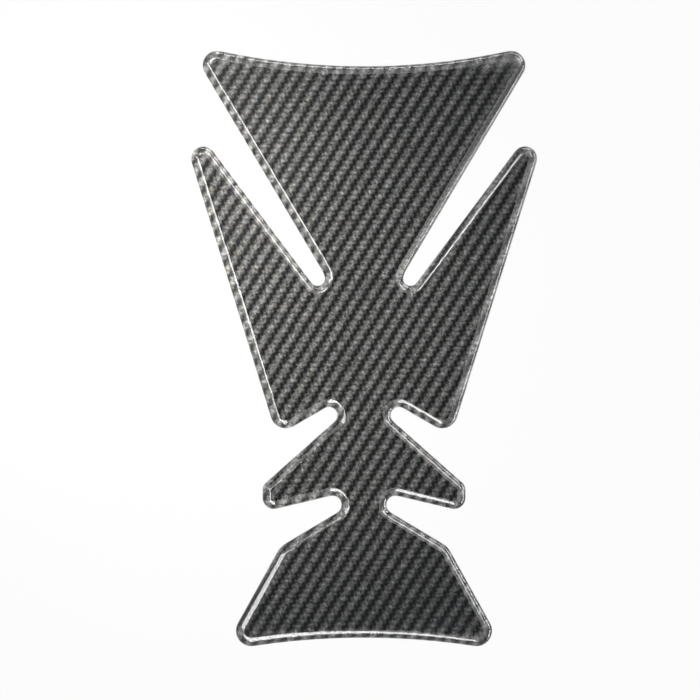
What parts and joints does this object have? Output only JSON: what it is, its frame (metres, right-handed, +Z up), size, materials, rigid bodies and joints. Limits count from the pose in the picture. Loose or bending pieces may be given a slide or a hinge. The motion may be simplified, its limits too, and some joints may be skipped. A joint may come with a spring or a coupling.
{
  "type": "motorcycle tank pad",
  "caption": "Stick-on tank pad with a wide arched top, slotted wings, side spikes and a flared base, in twill-pattern film under a clear domed resin.",
  "frame": {"origin": "middle of the pad's outline, on the adhesive face that goes against the tank", "axes": "+X across the pad to its right, +Y along it from the narrow base to the wide top, +Z up through the clear dome"},
  "size_m": [0.1248, 0.2148, 0.0024],
  "materials": {
    "adhesive": "matt, slightly yellow clear coat",
    "grey_vinyl": "satin",
    "dark_ink": "satin",
    "clear_resin": "gloss, clear"
  },
  "bodies": {
    "root": {"adhesive_layer": "adhesive", "vinyl_film": "grey_vinyl", "carbon_print": "dark_ink", "clear_dome": "clear_resin"}
  },
  "joints": []
}
